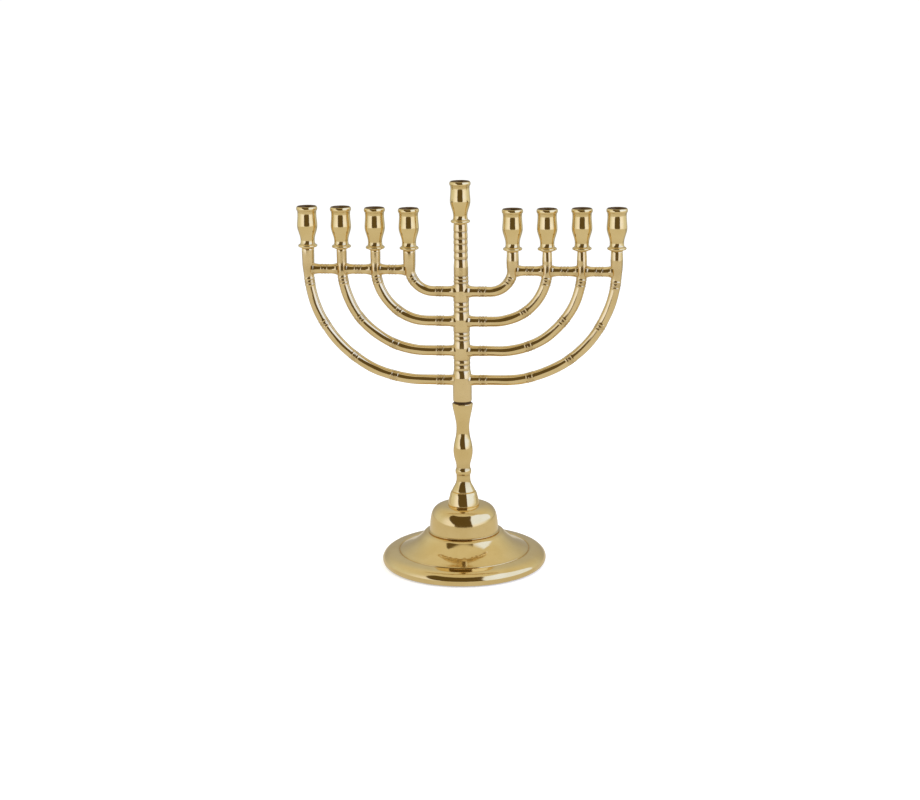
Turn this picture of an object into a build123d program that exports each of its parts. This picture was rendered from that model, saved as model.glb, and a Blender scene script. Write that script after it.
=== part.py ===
from build123d import *

import os
from math import acos, cos, degrees, radians, sin

# A nine-branch menorah in turned and bent brass. Millimetres, +Z up, +X along the row of cups.
# The origin is the centre of the foot's underside.

# ---- driving dimensions -------------------------------------------------------------------------

# candle cups
CUP_PITCH = 25.4            # from one cup to the next
FIRST_CUP_X = 38.4          # the innermost cup, from the shaft's axis
ARMS_PER_SIDE = 4
CUP_FOOT_Z = [239.6, 239.9, 240.4, 240.7]       # undersides of the side cups, from the innermost outwards
SHAMASH_FOOT_Z = 259.7      # underside of the raised ninth cup
CUP_HEIGHT = 31.1
CUP_RIM_R = 7.8
CUP_RIM_HEIGHT = 2.7        # the rounded lip
CUP_SEAT_R = 5.1            # the low step the cup stands on
CUP_SEAT_HEIGHT = 0.6
CUP_FLANGE_R = 7.1
CUP_FLANGE_HEIGHT = 2.2
CUP_EDGE_ROUND = 0.7        # how far the flange's and the lip's edges round over
CUP_SIDE = [                # radius and height above the cup's foot, from the waist to the lip
    (5.3, 2.9), (5.3, 6.0), (6.4, 10.8), (7.45, 15.6), (7.5, 19.8), (7.15, 24.8), (7.2, 27.8),
]
CANDLE_R = 5.6              # socket for an ordinary holiday candle
CANDLE_DEPTH = 17.0
MOUTH_FLARE = 1.0           # the socket's mouth opens by this much, over the same height

# the threaded studs under the cups: M4, drawn at their major diameter
CUP_STUD_R = 2.0
CUP_STUD_LENGTH = 16.0
CUP_STUD_IN_ARM = 8.0
CUP_STUD_CHAMFER = 0.3
ROD_CHAMFER = 0.5           # on the ends of the thicker stud and of the tie rod
RUNNING_GAP = 0.05          # radial clearance of a thread that turns

# the bent arms, from the innermost outwards
ARM_R = 3.8
ARM_LEVEL_Z = 209.1         # axis of the highest pair where it leaves the shaft
ARM_STEP_Z = 22.4
ARM_BEND_R = [17.6, 39.6, 62.0, 84.0]
ARM_ROOT_X = 2.4            # the arm's blind end inside the shaft
POST_R = [4.7, 3.9, 3.9, 4.7]   # the upright end that carries the cup
POST_FOOT_Z = 228.3
POST_START_Z = 224.3        # where the post begins, inside the end of the bend
POST_LAP = 1.0              # the bent rod runs this far up inside the post
POST_BORE_DEPTH = 9.0
FLARE = 0.8                 # how far a brazed joint flares out
FLARE_LENGTH = 4.5
FLARE_ROOT_X = 5.0          # where an arm's flare starts, inside the shaft
KNOT_RIDGE_R = 0.5          # a knot is two thin ridges with a low bead between them
KNOT_BEAD_R = 0.9
KNOT_HALF = 2.3
KNOT_PROUD = 0.35
KNOT_X = 16.0               # the knot beside the shaft
LAST_KNOT_Z = [217.8, 217.5, 216.8, 215.4]      # the knot just below the crossbar, on each arm
KNOT_SPACING = [28.5, 28.5, 32.0, 33.5]         # from one knot to the next along each bend

# the crossbars
BAR_Z = 225.0
BAR_R = 3.5

# the centre shaft
SHAFT_FOOT_Z = 125.4
SHAFT_BARREL_R = 7.2
SHAFT_BARREL_TOP_Z = 144.0
BARREL_BLEND = 3.5          # above and below that height, the barrel blends into the shaft
SHAFT_R = 6.3               # just above the barrel
SHAFT_TOP_R = 5.25          # the shaft tapers to this under the ninth cup
RING_GROOVE = 0.5           # radius of the round tool that turns a groove
RING_GROOVE_OUT = 0.175     # how far outside the surface the tool is centred
SHAFT_GROOVE_Z = [
    150.1, 154.1, 157.9, 172.7, 176.0, 179.1, 194.3, 197.9, 201.7,
    216.0, 218.6, 221.2, 233.7, 238.9, 244.7, 248.7, 254.0,
]

# the stud that joins the shaft to the stem: M8
STEM_STUD_R = 4.0
STEM_STUD_LENGTH = 24.0     # its top stays clear of the lowest arms' blind ends
STEM_STUD_IN_STEM = 13.0
STEM_HOLE_SPARE = 1.0       # the stem's hole is this much deeper than the stud

# the stem, the collar, the dome and the foot
STEM_FOOT_Z = 55.8
STEM_LEDGE_R = 7.9          # the ledge under the shaft, with a small chamfer
STEM_LEDGE_CHAMFER = 0.5
STEM_BELL = [               # radius and height above the stem's foot
    (8.8, 0.0), (7.4, 3.4), (5.8, 6.5), (5.45, 10.0), (5.5, 13.2),
]
STEM_BEAD = [(5.5, 13.2), (6.1, 15.6), (5.5, 18.0)]
STEM_BALUSTER = [
    (5.5, 18.0), (5.5, 20.0), (6.3, 23.8), (7.3, 29.5), (7.35, 32.5), (6.4, 39.4),
    (5.2, 46.5), (5.1, 50.5), (5.9, 56.5), (7.1, 62.8), (7.9, 67.6),
]
COLLAR_FOOT_Z = 45.4
COLLAR_TOP_R = 9.6
COLLAR_WAIST_R = 11.2
COLLAR_FOOT_R = 12.1
COLLAR_CHAMFER = 0.6
DOME_FOOT_Z = 24.6
DOME_SIDE = [               # radius and height above the dome's foot
    (13.2, 20.8), (19.9, 19.4), (24.3, 14.2), (25.9, 6.2), (26.2, 1.6),
]
DOME_LIP = [(26.2, 1.6), (27.2, 1.0), (27.0, 0.0)]
DOME_INSIDE = [             # the wall is about 2.2 mm
    (24.0, 0.0), (23.3, 7.2), (21.8, 13.2), (18.2, 17.2), (12.0, 18.6),
]
FOOT_R = 62.2
FOOT_FLAT_OUTER_R = 59.4
FOOT_FLAT_INNER_R = 54.6
FOOT_RIM_MIDDLE_Z = 4.4
FOOT_RIM_TOP = (59.4, 8.9)  # radius and height where the rounded rim ends
FOOT_WEB = 3.0              # the flat top of the foot, under the dome
FOOT_GROOVE_R = 49.2
FOOT_GROOVE_Z = 10.2
FOOT_GROOVE_HALF = 0.6
FOOT_GROOVE_DEPTH = 0.5
FOOT_SLOPE_MIDDLE = (37.5, 16.7)
FOOT_SLOPE_TOP_R = 29.2
FOOT_INSIDE = [(26.0, 21.6), (36.0, 13.2), (48.0, 7.2)]     # the hollow's curved roof
FOOT_INSIDE_EDGE_Z = 5.4

# the tie rod and its nut: M6
ROD_R = 3.0
ROD_TOP_Z = 78.8
ROD_FOOT_Z = 13.3
ROD_HOLE_R = 3.3
WASHER_R = 9.0
WASHER_THICKNESS = 1.6
NUT_ACROSS_FLATS = 10.0
NUT_HEIGHT = 5.0

SIDES = {"left": -1, "right": 1}
STANDING = (Align.CENTER, Align.CENTER, Align.MIN)


# ---- helpers ------------------------------------------------------------------------------------

def turned(*edges):
    """Solid of revolution about Z, from edges drawn as (radius, height)."""
    return revolve(Plane.XZ * make_face(list(edges)), Axis.Z)


def rod(radius, foot_z, top_z, x=0.0):
    """Upright cylinder between two heights."""
    return Pos(x, 0, foot_z) * Cylinder(radius, top_z - foot_z, align=STANDING)


def groove(z, radius):
    """Ring cutter with a round section, for a groove turned into a shaft of the given radius."""
    return Pos(0, 0, z) * Torus(radius + RING_GROOVE_OUT, RING_GROOVE)


def knot(at, direction, radius):
    """Two thin ridges and a low bead round a rod, at a point on its axis."""
    place = Plane(origin=at, z_dir=direction)
    ridge_centre_r = radius + KNOT_PROUD - KNOT_RIDGE_R
    bead_centre_r = radius + KNOT_PROUD * 0.5 - KNOT_BEAD_R
    ridge = Torus(ridge_centre_r, KNOT_RIDGE_R)
    bead = Torus(bead_centre_r, KNOT_BEAD_R)
    return [place * Pos(0, 0, -KNOT_HALF) * ridge, place * bead, place * Pos(0, 0, KNOT_HALF) * ridge]


def flare(start, direction, radius):
    """Cone that widens a rod's end where it is brazed on."""
    return Plane(origin=start, z_dir=direction) * Cone(radius + FLARE, radius, FLARE_LENGTH, align=STANDING)


def stud_hole(radius, foot_z, depth, x=0.0):
    """Cutter for the threaded hole of a stud, with the clearance of a running thread."""
    return rod(radius + RUNNING_GAP, foot_z, foot_z + depth, x)


def cup_x(number):
    """Distance of a cup from the shaft's axis; number 1 is the innermost."""
    return FIRST_CUP_X + (number - 1) * CUP_PITCH


# ---- cups and their studs -----------------------------------------------------------------------

def candle_cup(x, foot_z):
    """Turned cup: flange, waist, bulb and lip, with a candle socket above and a stud hole below."""
    seat = CUP_SEAT_HEIGHT
    flange_top = seat + CUP_FLANGE_HEIGHT
    flange_r = CUP_FLANGE_R - CUP_EDGE_ROUND
    waist_r, waist_z = CUP_SIDE[0]
    neck_r, neck_z = CUP_SIDE[-1]
    lip_z = CUP_HEIGHT - CUP_RIM_HEIGHT
    cup = turned(
        Polyline((0, CUP_HEIGHT), (0, 0), (CUP_SEAT_R, 0), (CUP_SEAT_R, seat), (flange_r, seat)),
        ThreePointArc((flange_r, seat), (CUP_FLANGE_R, (seat + flange_top) / 2), (flange_r, flange_top)),
        Polyline((flange_r, flange_top), (waist_r, flange_top), (waist_r, waist_z)),
        Spline(*CUP_SIDE),
        Line((neck_r, neck_z), (neck_r, lip_z)),
        ThreePointArc((neck_r, lip_z), (CUP_RIM_R, (lip_z + CUP_HEIGHT) / 2), (neck_r, CUP_HEIGHT)),
        Line((neck_r, CUP_HEIGHT), (0, CUP_HEIGHT)),
    )
    cup -= rod(CANDLE_R, CUP_HEIGHT - CANDLE_DEPTH, CUP_HEIGHT)
    mouth = Cone(CANDLE_R, CANDLE_R + MOUTH_FLARE, MOUTH_FLARE, align=STANDING)
    cup -= Pos(0, 0, CUP_HEIGHT - MOUTH_FLARE) * mouth
    cup -= stud_hole(CUP_STUD_R, 0, CUP_STUD_LENGTH - CUP_STUD_IN_ARM)
    return Pos(x, 0, foot_z) * cup


def cup_stud(x, foot_z):
    """Headless threaded stud, half in the cup and half in the metal under it."""
    low = foot_z - CUP_STUD_IN_ARM
    return chamfer(rod(CUP_STUD_R, low, low + CUP_STUD_LENGTH, x).edges(), CUP_STUD_CHAMFER)


# ---- arms and crossbars -------------------------------------------------------------------------

def arm_axis(number, side):
    """Start, bend and end of an arm's axis: the level run, the quarter circle and the upright."""
    level_z = ARM_LEVEL_Z - (number - 1) * ARM_STEP_Z
    bend = ARM_BEND_R[number - 1]
    x = cup_x(number)
    turn_x = x - bend
    middle = (side * (turn_x + bend * sin(radians(45))), 0, level_z + bend * (1 - cos(radians(45))))
    level = Line((side * ARM_ROOT_X, 0, level_z), (side * turn_x, 0, level_z))
    quarter = ThreePointArc((side * turn_x, 0, level_z), middle, (side * x, 0, level_z + bend))
    upright = Line((side * x, 0, level_z + bend), (side * x, 0, max(POST_FOOT_Z, level_z + bend) + POST_LAP))
    return level, quarter, upright


def bend_angles(number):
    """Angles of the knots along a bend, in degrees up from the bend's lowest point."""
    bend = ARM_BEND_R[number - 1]
    bend_centre_z = ARM_LEVEL_Z - (number - 1) * ARM_STEP_Z + bend
    last = degrees(acos((bend_centre_z - LAST_KNOT_Z[number - 1]) / bend))
    spacing = degrees(KNOT_SPACING[number - 1] / bend)
    return [last - spacing * step for step in range(number)]


def arm(number, side):
    """One bent arm with its knots, its flared root and the post that carries the cup."""
    level, quarter, upright = arm_axis(number, side)
    x = side * cup_x(number)
    level_z = ARM_LEVEL_Z - (number - 1) * ARM_STEP_Z
    bend = ARM_BEND_R[number - 1]
    section = Plane(origin=level @ 0, z_dir=(side, 0, 0)) * Circle(ARM_R)
    body = sweep(section, path=Wire([level, quarter, upright]))
    post_top = CUP_FOOT_Z[number - 1]
    body += rod(POST_R[number - 1], POST_START_Z, post_top, x)
    body += flare((side * FLARE_ROOT_X, 0, level_z), (side, 0, 0), ARM_R)
    knots = knot((side * KNOT_X, 0, level_z), (1, 0, 0), ARM_R)
    for angle in bend_angles(number):
        across, along = sin(radians(angle)), cos(radians(angle))
        centre = (side * (cup_x(number) - bend + bend * across), 0, level_z + bend * (1 - along))
        knots += knot(centre, (side * along, 0, across), ARM_R)
    for piece in knots:
        body += piece
    return body - stud_hole(CUP_STUD_R, post_top - POST_BORE_DEPTH, POST_BORE_DEPTH, x)


def crossbar(number, side, inner_arm, outer_arm):
    """Short rod between two neighbouring arms, coped to their rounds, with a knot half way."""
    inner_x = cup_x(number)
    outer_x = cup_x(number + 1)
    start = Plane(origin=(side * inner_x, 0, BAR_Z), z_dir=(side, 0, 0))
    bar = start * Cylinder(BAR_R, CUP_PITCH, align=STANDING)
    bar += flare((side * (inner_x + ARM_R), 0, BAR_Z), (side, 0, 0), BAR_R)
    bar += flare((side * (outer_x - ARM_R), 0, BAR_Z), (-side, 0, 0), BAR_R)
    for piece in knot((side * (inner_x + outer_x) / 2, 0, BAR_Z), (1, 0, 0), BAR_R):
        bar += piece
    bar = bar - inner_arm - outer_arm
    return max(bar.solids(), key=lambda solid: solid.volume)


# ---- shaft, stem, collar, dome and foot ---------------------------------------------------------

def centre_shaft(arms):
    """Tapered turned shaft with its ring grooves, the sockets of the arms and a stud hole at each end."""
    blend_low = SHAFT_BARREL_TOP_Z - BARREL_BLEND
    blend_high = SHAFT_BARREL_TOP_Z + BARREL_BLEND
    taper = (SHAFT_R - SHAFT_TOP_R) / (SHAMASH_FOOT_Z - blend_high)
    body = turned(
        Polyline((0, SHAFT_FOOT_Z), (SHAFT_BARREL_R, SHAFT_FOOT_Z), (SHAFT_BARREL_R, blend_low)),
        Spline((SHAFT_BARREL_R, blend_low), (SHAFT_R, blend_high), tangents=[(0, 1), (0, 1)]),
        Line((SHAFT_R, blend_high), (SHAFT_TOP_R, SHAMASH_FOOT_Z)),
        Polyline((SHAFT_TOP_R, SHAMASH_FOOT_Z), (0, SHAMASH_FOOT_Z), (0, SHAFT_FOOT_Z)),
    )
    for z in SHAFT_GROOVE_Z:
        body -= groove(z, SHAFT_R - taper * (z - blend_high))
    for piece in arms:
        body -= piece
    body -= stud_hole(STEM_STUD_R, SHAFT_FOOT_Z, STEM_STUD_LENGTH - STEM_STUD_IN_STEM)
    body -= stud_hole(CUP_STUD_R, SHAMASH_FOOT_Z - POST_BORE_DEPTH, POST_BORE_DEPTH)
    return max(body.solids(), key=lambda solid: solid.volume)


def stem_stud():
    low = SHAFT_FOOT_Z - STEM_STUD_IN_STEM
    return chamfer(rod(STEM_STUD_R, low, low + STEM_STUD_LENGTH).edges(), ROD_CHAMFER)


def stem():
    """Turned baluster: bell foot, neck, bead, bulb, waist and a ledge that meets the shaft."""
    height = SHAFT_FOOT_Z - STEM_FOOT_Z
    ledge = height - STEM_LEDGE_CHAMFER
    ledge_top_r = STEM_LEDGE_R - STEM_LEDGE_CHAMFER
    body = Pos(0, 0, STEM_FOOT_Z) * turned(
        Polyline((0, height), (0, 0), STEM_BELL[0]),
        Spline(*STEM_BELL, tangents=[(-0.2, 1), (0.1, 1)]),
        ThreePointArc(*STEM_BEAD),
        Spline(*STEM_BALUSTER),
        Polyline(STEM_BALUSTER[-1], (STEM_LEDGE_R, ledge), (ledge_top_r, height), (0, height)),
    )
    hole_depth = STEM_STUD_IN_STEM + STEM_HOLE_SPARE
    body -= stud_hole(STEM_STUD_R, SHAFT_FOOT_Z - hole_depth, hole_depth)
    return body - rod(ROD_R, STEM_FOOT_Z, ROD_TOP_Z)


def dome_collar():
    height = STEM_FOOT_Z - COLLAR_FOOT_Z
    shoulder = height - COLLAR_CHAMFER
    body = Pos(0, 0, COLLAR_FOOT_Z) * turned(
        Line((0, 0), (COLLAR_FOOT_R, 0)),
        ThreePointArc((COLLAR_FOOT_R, 0), (COLLAR_WAIST_R, height / 2), (COLLAR_TOP_R, shoulder)),
        Polyline((COLLAR_TOP_R, shoulder), (COLLAR_TOP_R - COLLAR_CHAMFER, height), (0, height), (0, 0)),
    )
    return body - rod(ROD_HOLE_R, COLLAR_FOOT_Z, STEM_FOOT_Z)


def base_dome():
    """High-shouldered dome, hollow underneath, with a thin lip where it stands on the foot."""
    top = COLLAR_FOOT_Z - DOME_FOOT_Z
    roof_r, roof = DOME_INSIDE[-1]
    return Pos(0, 0, DOME_FOOT_Z) * turned(
        Line((ROD_HOLE_R, top), DOME_SIDE[0]),
        Spline(*DOME_SIDE, tangents=[(1, 0), (0, -1)]),
        ThreePointArc(*DOME_LIP),
        Line(DOME_LIP[-1], DOME_INSIDE[0]),
        Spline(*DOME_INSIDE, tangents=[(0, 1), (-1, 0)]),
        Polyline((roof_r, roof), (ROD_HOLE_R, roof), (ROD_HOLE_R, top)),
    )


def base_foot():
    """Wide hollow foot: rounded rim, one turned groove, a concave slope and a flat top."""
    top = DOME_FOOT_Z
    web = top - FOOT_WEB
    groove_lip = FOOT_GROOVE_Z + FOOT_GROOVE_DEPTH
    outer = (FOOT_GROOVE_R + FOOT_GROOVE_HALF, groove_lip)
    inner = (FOOT_GROOVE_R - FOOT_GROOVE_HALF, groove_lip + FOOT_GROOVE_HALF / 2)
    edge = (FOOT_FLAT_INNER_R, FOOT_INSIDE_EDGE_Z)
    return turned(
        Line((FOOT_FLAT_INNER_R, 0), (FOOT_FLAT_OUTER_R, 0)),
        ThreePointArc((FOOT_FLAT_OUTER_R, 0), (FOOT_R, FOOT_RIM_MIDDLE_Z), FOOT_RIM_TOP),
        Line(FOOT_RIM_TOP, outer),
        ThreePointArc(outer, (FOOT_GROOVE_R, FOOT_GROOVE_Z), inner),
        ThreePointArc(inner, FOOT_SLOPE_MIDDLE, (FOOT_SLOPE_TOP_R, top)),
        Polyline((FOOT_SLOPE_TOP_R, top), (ROD_HOLE_R, top), (ROD_HOLE_R, web), FOOT_INSIDE[0]),
        ThreePointArc(*FOOT_INSIDE),
        Polyline(FOOT_INSIDE[-1], edge, (FOOT_FLAT_INNER_R, 0)),
    )


def tie_rod():
    return chamfer(rod(ROD_R, ROD_FOOT_Z, ROD_TOP_Z).edges(), ROD_CHAMFER)


def base_washer():
    top = DOME_FOOT_Z - FOOT_WEB
    return rod(WASHER_R, top - WASHER_THICKNESS, top) - rod(ROD_HOLE_R, top - WASHER_THICKNESS, top)


def base_nut():
    top = DOME_FOOT_Z - FOOT_WEB - WASHER_THICKNESS
    hexagon = RegularPolygon(NUT_ACROSS_FLATS / 2, 6, major_radius=False)
    return Pos(0, 0, top - NUT_HEIGHT) * extrude(hexagon, NUT_HEIGHT) - rod(ROD_R, top - NUT_HEIGHT, top)


# ---- assembly -----------------------------------------------------------------------------------

def menorah():
    """Every piece of the menorah by name."""
    pieces = {
        "base_foot": base_foot(), "base_dome": base_dome(), "dome_collar": dome_collar(), "stem": stem(),
        "tie_rod": tie_rod(), "base_washer": base_washer(), "base_nut": base_nut(),
        "stem_stud": stem_stud(),
        "cup_shamash": candle_cup(0, SHAMASH_FOOT_Z), "stud_shamash": cup_stud(0, SHAMASH_FOOT_Z),
    }
    arms = {}
    for side_name, side in SIDES.items():
        for number in range(1, ARMS_PER_SIDE + 1):
            label = f"{side_name}_{number}"
            arms[f"arm_{label}"] = arm(number, side)
            pieces[f"cup_{label}"] = candle_cup(side * cup_x(number), CUP_FOOT_Z[number - 1])
            pieces[f"stud_{label}"] = cup_stud(side * cup_x(number), CUP_FOOT_Z[number - 1])
        for number in range(1, ARMS_PER_SIDE):
            inner_arm = arms[f"arm_{side_name}_{number}"]
            outer_arm = arms[f"arm_{side_name}_{number + 1}"]
            pieces[f"crossbar_{side_name}_{number}"] = crossbar(number, side, inner_arm, outer_arm)
    pieces["centre_shaft"] = centre_shaft(arms.values())
    return pieces | arms


os.makedirs("parts", exist_ok=True)
for node, shape in menorah().items():
    export_step(shape, f"parts/{node}.step")
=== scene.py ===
import math

import bmesh
import bpy
import numpy as np
from mathutils import Matrix, Vector


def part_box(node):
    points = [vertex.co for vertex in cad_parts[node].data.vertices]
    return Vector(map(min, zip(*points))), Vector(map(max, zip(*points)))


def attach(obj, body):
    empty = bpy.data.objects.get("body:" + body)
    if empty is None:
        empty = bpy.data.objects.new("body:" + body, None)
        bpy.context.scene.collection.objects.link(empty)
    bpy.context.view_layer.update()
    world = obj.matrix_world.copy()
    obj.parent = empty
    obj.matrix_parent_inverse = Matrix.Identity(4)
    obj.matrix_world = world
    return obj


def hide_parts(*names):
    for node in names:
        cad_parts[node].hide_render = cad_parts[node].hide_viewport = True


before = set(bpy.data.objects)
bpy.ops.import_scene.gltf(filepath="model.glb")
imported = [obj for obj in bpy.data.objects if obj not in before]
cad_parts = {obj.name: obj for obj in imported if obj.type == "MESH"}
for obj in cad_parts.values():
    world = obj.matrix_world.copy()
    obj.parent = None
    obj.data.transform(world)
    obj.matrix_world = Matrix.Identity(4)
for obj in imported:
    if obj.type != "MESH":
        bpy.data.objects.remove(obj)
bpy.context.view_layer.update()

# A polished brass nine-branch menorah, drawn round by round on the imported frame.
# Profiles are written in millimetres as (radius, height) or (radius, distance along the axis).

MM = 0.001
TAU = 2 * math.pi
SIDES = {"left": -1, "right": 1}
ARMS_PER_SIDE = 4

# ---- sizes that the frame doesn't give directly --------------------------------------------------

ARM_R = 3.8
BAR_R = 3.5
POST_R = {1: (4.45, 4.7), 2: (3.6, 3.75), 3: (3.6, 3.75), 4: (4.3, 4.7)}    # at the crossbar, under the cup
SHAFT_FACE_X = 5.4          # where an arm comes out of the shaft
ROOT_FLARE = 0.8            # what a flared rod's end stands proud of the rod, in the CAD model
BEND_R = {1: 17.6, 2: 39.6, 3: 62.0, 4: 84.0}
CROSSBAR_Z = 225.0
LAST_KNOT_Z = {1: 217.8, 2: 217.5, 3: 216.8, 4: 215.4}
KNOT_SPACING = {1: 28.5, 2: 28.5, 3: 32.0, 4: 33.5}
ROOT_KNOT_X = 16.0
BOW = {("right", 4): 0.7}   # an arm whose bend is pulled in a little at its middle
POST_TIP = {"left": 0.0, "right": 0.4}      # how much a post narrows just under its cup
POST_TIP_LENGTH = 7.0
STUD_HOLE_R = 2.05
STUD_HOLE_DEPTH = 9.0
STUD_HOLE_CHAMFER = 0.3
STEM_STUD_HOLE_R = 4.05
ROD_R = 3.0
ROD_HOLE_R = 3.3
CUP_THREAD_PITCH = 0.7
STEM_THREAD_PITCH = 1.25
ROD_THREAD_PITCH = 1.0


# ---- mesh helpers --------------------------------------------------------------------------------

SHARP_ANGLE = 38.0          # degrees between two faces from which their edge is drawn sharp
FULL_MARK = 1.2             # radians of inward turn that count as a full groove


def low_mm(node):
    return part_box(node)[0] / MM


def high_mm(node):
    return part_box(node)[1] / MM


def centre_x_mm(node):
    return (low_mm(node).x + high_mm(node).x) / 2


def smooth_line(points, step=0.3):
    """Points along a Catmull-Rom curve through the given ones, about a step apart."""
    p = np.array(points, float)
    ends = np.vstack([2 * p[0] - p[1], p, 2 * p[-1] - p[-2]])
    line = [p[0]]
    for a, b, c, d in zip(ends, ends[1:], ends[2:], ends[3:]):
        count = max(2, int(np.linalg.norm(c - b) / step))
        for t in np.linspace(0, 1, count + 1)[1:]:
            pull = (c - a) * t + (2 * a - 5 * b + 4 * c - d) * t * t + (3 * b - a - 3 * c + d) * t ** 3
            line.append(b + 0.5 * pull)
    return [tuple(q) for q in line]


def rounded(corners, radius=0.25, steps=5):
    """A polyline with each inner corner replaced by a small curve."""
    p = [np.array(c, float) for c in corners]
    line = [tuple(p[0])]
    for before, corner, after in zip(p, p[1:], p[2:]):
        back, ahead = before - corner, after - corner
        cut = min(radius, np.linalg.norm(back) * 0.45, np.linalg.norm(ahead) * 0.45)
        start = corner + back / np.linalg.norm(back) * cut
        end = corner + ahead / np.linalg.norm(ahead) * cut
        for t in np.linspace(0, 1, steps):
            line.append(tuple((1 - t) ** 2 * start + 2 * t * (1 - t) * corner + t * t * end))
    return line + [tuple(p[-1])]


def hollow_marks(profile, reach=0.9):
    """How deep each profile point lies in a groove or an inner corner, from 0 to 1."""
    p = np.array(profile, float)
    marks = np.zeros(len(p))
    for i in range(1, len(p) - 1):
        before, after = p[i] - p[i - 1], p[i + 1] - p[i]
        turn = math.atan2(before[0] * after[1] - before[1] * after[0], float(before @ after))
        marks[i] = max(0.0, -turn)
    along = np.concatenate([[0], np.cumsum(np.linalg.norm(np.diff(p, axis=0), axis=1))])
    spread = np.array([np.sum(marks * np.exp(-((along - s) / reach) ** 2)) for s in along])
    return np.clip(spread / FULL_MARK, 0, 1)


def ring_solid(name, rings, segments, marks, raw_and_shade):
    """Closed mesh from rings of points; a ring of one point is a pole."""
    vertices, starts, counts = [], [], []
    for ring in rings:
        starts.append(len(vertices))
        counts.append(len(ring))
        vertices.extend(ring)
    faces = []
    for (a, na), (b, nb) in zip(zip(starts, counts), zip(starts[1:], counts[1:])):
        for i in range(segments):
            j = (i + 1) % segments
            if na == 1 and nb > 1:
                faces.append((a, b + i, b + j))
            elif nb == 1 and na > 1:
                faces.append((a + i, a + j, b))
            elif na > 1:
                faces.append((a + i, a + j, b + j, b + i))
    mesh = bpy.data.meshes.new(name)
    mesh.from_pydata([tuple(v) for v in vertices], [], faces)
    work = bmesh.new()
    work.from_mesh(mesh)
    bmesh.ops.recalc_face_normals(work, faces=work.faces)
    work.to_mesh(mesh)
    work.free()
    mesh.polygons.foreach_set("use_smooth", [True] * len(mesh.polygons))
    mesh.set_sharp_from_angle(angle=math.radians(SHARP_ANGLE))
    # Marks for the material: tarnish with painted shade in hollows and joints, and raw faces with painted
    # shade in recesses and sockets.
    for label, values in (("tarnish_and_shade", marks), ("raw_and_shade", raw_and_shade)):
        spread = [float(v) for v, n in zip(values, counts) for _ in range(n)]
        mesh.attributes.new(label, "FLOAT", "POINT").data.foreach_set("value", spread)
    piece = bpy.data.objects.new(name, mesh)
    bpy.context.scene.collection.objects.link(piece)
    return piece


def turned(name, profile, x=0.0, segments=96, raw_and_shade=None, relief=None, dirt_and_shade=1.0):
    """A lathe-turned piece about the upright line at x, its grooves darkened that much: tarnish together with
    painted shade.
    """
    angles = np.linspace(0, TAU, segments, endpoint=False)
    rings = []
    for radius, z in profile:
        if radius < 1e-6:
            rings.append([(x * MM, 0.0, z * MM)])
            continue
        r = radius if relief is None else relief(radius, z, angles)
        px = (x + r * np.cos(angles)) * MM
        py = (r * np.sin(angles)) * MM
        rings.append(np.column_stack([px, py, np.full(segments, z * MM)]))
    # Profile points drawn in the raw colour: raw brass where hidden, painted shade where a recess or socket
    # shows.
    raw_and_shaded = [1.0 if raw_and_shade is not None and raw_and_shade(r, z) else 0.0 for r, z in profile]
    return ring_solid(name, rings, segments, dirt_and_shade * hollow_marks(profile), raw_and_shaded)


def bent(name, centre, tilt, profile, segments, relief=None, marks=None, raw_and_shade=None):
    """A round piece on a bent axis in the XZ plane: centre(s) is its point, tilt(s) its direction."""
    angles = np.linspace(0, TAU, segments, endpoint=False)
    rings = []
    for radius, s in profile:
        at, angle = centre(s), tilt(s)
        across = np.array([-math.sin(angle), 0.0, math.cos(angle)])
        if radius < 1e-6:
            rings.append([tuple(np.array(at) * MM)])
            continue
        r = radius if relief is None else radius + relief(s, angles)
        r = np.broadcast_to(r, angles.shape)
        ring = np.array(at) + np.outer(r * np.cos(angles), across)
        ring[:, 1] += r * np.sin(angles)
        rings.append(ring * MM)
    return ring_solid(name, rings, segments, marks(profile), raw_and_shade(profile))


# ---- materials -----------------------------------------------------------------------------------

class Nodes:
    """Short hand for wiring one material's nodes."""

    def __init__(self, tree):
        self.tree = tree

    def add(self, kind, inputs=(), **settings):
        node = self.tree.nodes.new(kind)
        for key, value in settings.items():
            setattr(node, key, value)
        for socket, value in dict(inputs).items():
            if isinstance(value, bpy.types.NodeSocket):
                self.tree.links.new(value, node.inputs[socket])
            else:
                node.inputs[socket].default_value = value
        return node

    def math(self, operation, a, b=0.0, c=0.0):
        return self.add("ShaderNodeMath", {0: a, 1: b, 2: c}, operation=operation).outputs[0]

    def noise(self, vector, scale, detail=3.0, roughness=0.5):
        inputs = {"Vector": vector, "Scale": scale, "Detail": detail, "Roughness": roughness}
        return self.add("ShaderNodeTexNoise", inputs).outputs["Fac"]

    def stretch(self, vector, scale):
        return self.add("ShaderNodeMapping", {"Vector": vector, "Scale": scale}).outputs[0]

    def ramp(self, value, low, high, out_low=0.0, out_high=1.0):
        inputs = {"Value": value, "From Min": low, "From Max": high, "To Min": out_low, "To Max": out_high}
        return self.add("ShaderNodeMapRange", inputs, interpolation_type="SMOOTHSTEP").outputs[0]

    def mix(self, factor, a, b):
        node = self.tree.nodes.new("ShaderNodeMix")
        node.data_type = "RGBA"
        for socket, value in ((0, factor), (6, a), (7, b)):
            if isinstance(value, bpy.types.NodeSocket):
                self.tree.links.new(value, node.inputs[socket])
            else:
                node.inputs[socket].default_value = value
        return node.outputs[2]

    def attribute(self, name):
        return self.add("ShaderNodeAttribute", attribute_name=name).outputs["Fac"]

    def bump(self, height, distance, normal=None):
        inputs = {"Height": height, "Distance": distance, "Strength": 1.0}
        if normal is not None:
            inputs["Normal"] = normal
        return self.add("ShaderNodeBump", inputs).outputs[0]


# Tarnish brown for grooves, inner corners and joints, also standing in for the shade there: painted shade.
GROOVE_DIRT_AND_SHADE = (0.22, 0.115, 0.03, 1)
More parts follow.
